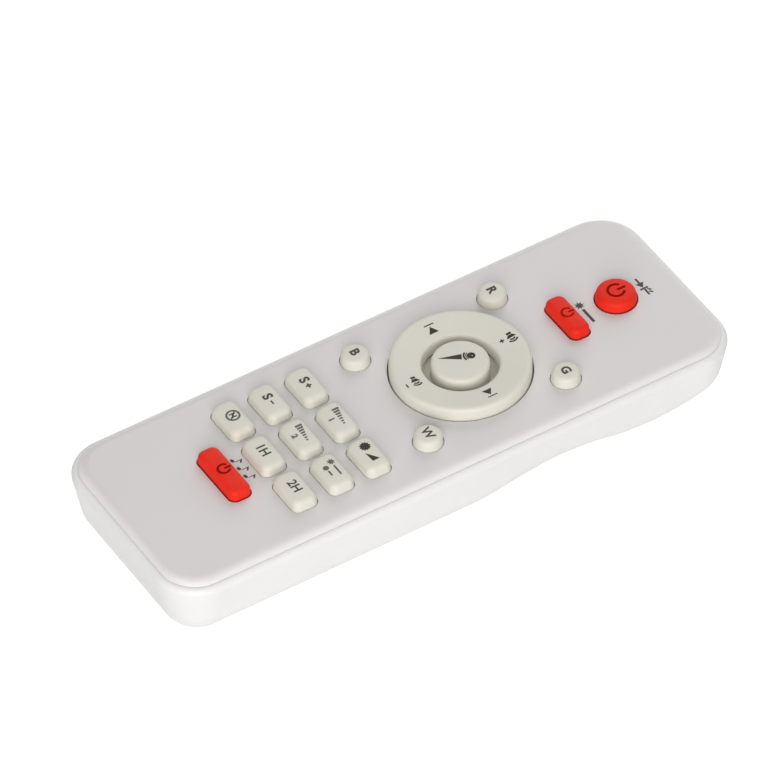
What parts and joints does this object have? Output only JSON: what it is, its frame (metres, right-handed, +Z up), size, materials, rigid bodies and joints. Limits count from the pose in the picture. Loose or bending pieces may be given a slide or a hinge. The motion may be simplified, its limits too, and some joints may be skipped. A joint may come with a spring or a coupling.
{
  "type": "infrared remote control",
  "caption": "Hand-held infrared remote control of a home planetarium: flat cover with round and rectangular keys and a four-way ring over a rounded shell with a finger scoop.",
  "frame": {"origin": "under the middle of the handset's outline, on the surface that it rests on", "axes": "+Y towards the infrared LED at the head end, +X to the right as the keys are read, +Z up out of the key face"},
  "size_m": [0.0476, 0.1316, 0.0196],
  "materials": {
    "cover_plastic": "satin",
    "shell_plastic": "satin",
    "key_rubber": "matte",
    "red_rubber": "matte",
    "mat_rubber": "matte",
    "pill_carbon": "matte",
    "board_laminate": "satin",
    "component_black": "satin",
    "resonator_ceramic": "satin",
    "led_lens": "gloss",
    "spring_steel": "bright",
    "screw_steel": "zinc plated",
    "tin_wire": "tinned",
    "cell_jacket": "gloss"
  },
  "bodies": {
    "handset": {"bottom_shell": "shell_plastic", "top_cover": "cover_plastic", "case_screw": "screw_steel", "keypad_mat": "mat_rubber", "circuit_board": "board_laminate", "ir_led": "led_lens", "led_leads": "tin_wire", "controller_chip": "component_black", "transistor": "component_black", "resonator": "resonator_ceramic", "capacitor": "component_black", "resistors": "component_black", "cell_left": "cell_jacket", "cell_right": "cell_jacket", "battery_springs": "spring_steel", "battery_contacts": "spring_steel"},
    "door": {"battery_door": "shell_plastic"},
    "ring_cradle": {"ring_web": "mat_rubber"},
    "ring": {"nav_ring": "key_rubber", "ring_pills": "pill_carbon"},
    "centre_key": {"centre_key": "key_rubber", "centre_pill": "pill_carbon"},
    "lamp_key": {"lamp_key": "red_rubber", "lamp_pill": "pill_carbon"},
    "beam_key": {"beam_key": "red_rubber", "beam_pill": "pill_carbon"},
    "red_key": {"red_key": "key_rubber", "red_pill": "pill_carbon"},
    "green_key": {"green_key": "key_rubber", "green_pill": "pill_carbon"},
    "blue_key": {"blue_key": "key_rubber", "blue_pill": "pill_carbon"},
    "white_key": {"white_key": "key_rubber", "white_pill": "pill_carbon"},
    "speed_up_key": {"speed_up_key": "key_rubber", "speed_up_pill": "pill_carbon"},
    "fade_one_key": {"fade_one_key": "key_rubber", "fade_one_pill": "pill_carbon"},
    "brightness_key": {"brightness_key": "key_rubber", "brightness_pill": "pill_carbon"},
    "speed_down_key": {"speed_down_key": "key_rubber", "speed_down_pill": "pill_carbon"},
    "fade_two_key": {"fade_two_key": "key_rubber", "fade_two_pill": "pill_carbon"},
    "beam_light_key": {"beam_light_key": "key_rubber", "beam_light_pill": "pill_carbon"},
    "timer_off_key": {"timer_off_key": "key_rubber", "timer_off_pill": "pill_carbon"},
    "timer_one_key": {"timer_one_key": "key_rubber", "timer_one_pill": "pill_carbon"},
    "timer_two_key": {"timer_two_key": "key_rubber", "timer_two_pill": "pill_carbon"},
    "music_key": {"music_key": "red_rubber", "music_pill": "pill_carbon"}
  },
  "joints": [
    {"name": "lamp_press", "type": "slide", "parent": "handset", "child": "lamp_key", "axis": [0, 0, -1], "range_m": [0, 0.00065], "stiffness_N_per_m": 600, "springref_m": -0.0003},
    {"name": "beam_press", "type": "slide", "parent": "handset", "child": "beam_key", "axis": [0, 0, -1], "range_m": [0, 0.00065], "stiffness_N_per_m": 600, "springref_m": -0.0003},
    {"name": "red_press", "type": "slide", "parent": "handset", "child": "red_key", "axis": [0, 0, -1], "range_m": [0, 0.00065], "stiffness_N_per_m": 600, "springref_m": -0.0003},
    {"name": "green_press", "type": "slide", "parent": "handset", "child": "green_key", "axis": [0, 0, -1], "range_m": [0, 0.00065], "stiffness_N_per_m": 600, "springref_m": -0.0003},
    {"name": "blue_press", "type": "slide", "parent": "handset", "child": "blue_key", "axis": [0, 0, -1], "range_m": [0, 0.00065], "stiffness_N_per_m": 600, "springref_m": -0.0003},
    {"name": "white_press", "type": "slide", "parent": "handset", "child": "white_key", "axis": [0, 0, -1], "range_m": [0, 0.00065], "stiffness_N_per_m": 600, "springref_m": -0.0003},
    {"name": "speed_up_press", "type": "slide", "parent": "handset", "child": "speed_up_key", "axis": [0, 0, -1], "range_m": [0, 0.00065], "stiffness_N_per_m": 600, "springref_m": -0.0003},
    {"name": "fade_one_press", "type": "slide", "parent": "handset", "child": "fade_one_key", "axis": [0, 0, -1], "range_m": [0, 0.00065], "stiffness_N_per_m": 600, "springref_m": -0.0003},
    {"name": "brightness_press", "type": "slide", "parent": "handset", "child": "brightness_key", "axis": [0, 0, -1], "range_m": [0, 0.00065], "stiffness_N_per_m": 600, "springref_m": -0.0003},
    {"name": "speed_down_press", "type": "slide", "parent": "handset", "child": "speed_down_key", "axis": [0, 0, -1], "range_m": [0, 0.00065], "stiffness_N_per_m": 600, "springref_m": -0.0003},
    {"name": "fade_two_press", "type": "slide", "parent": "handset", "child": "fade_two_key", "axis": [0, 0, -1], "range_m": [0, 0.00065], "stiffness_N_per_m": 600, "springref_m": -0.0003},
    {"name": "beam_light_press", "type": "slide", "parent": "handset", "child": "beam_light_key", "axis": [0, 0, -1], "range_m": [0, 0.00065], "stiffness_N_per_m": 600, "springref_m": -0.0003},
    {"name": "timer_off_press", "type": "slide", "parent": "handset", "child": "timer_off_key", "axis": [0, 0, -1], "range_m": [0, 0.00065], "stiffness_N_per_m": 600, "springref_m": -0.0003},
    {"name": "timer_one_press", "type": "slide", "parent": "handset", "child": "timer_one_key", "axis": [0, 0, -1], "range_m": [0, 0.00065], "stiffness_N_per_m": 600, "springref_m": -0.0003},
    {"name": "timer_two_press", "type": "slide", "parent": "handset", "child": "timer_two_key", "axis": [0, 0, -1], "range_m": [0, 0.00065], "stiffness_N_per_m": 600, "springref_m": -0.0003},
    {"name": "music_press", "type": "slide", "parent": "handset", "child": "music_key", "axis": [0, 0, -1], "range_m": [0, 0.00065], "stiffness_N_per_m": 600, "springref_m": -0.0003},
    {"name": "centre_press", "type": "slide", "parent": "handset", "child": "centre_key", "axis": [0, 0, -1], "range_m": [0, 0.00065], "stiffness_N_per_m": 600, "springref_m": -0.0003},
    {"name": "ring_tilt_long", "type": "hinge", "parent": "handset", "child": "ring_cradle", "pos_m": [0, 0.01375, 0.01485], "axis": [1, 0, 0], "range_deg": [-1.9, 1.9], "stiffness_Nm_per_rad": 0.12},
    {"name": "ring_tilt_across", "type": "hinge", "parent": "ring_cradle", "child": "ring", "pos_m": [0, 0.01375, 0.01485], "axis": [0, 1, 0], "range_deg": [-1.9, 1.9], "stiffness_Nm_per_rad": 0.12},
    {"name": "door_hinge", "type": "hinge", "parent": "handset", "child": "door", "pos_m": [0, -0.0561, 0], "axis": [-1, 0, 0], "range_deg": [0, 60]}
  ]
}
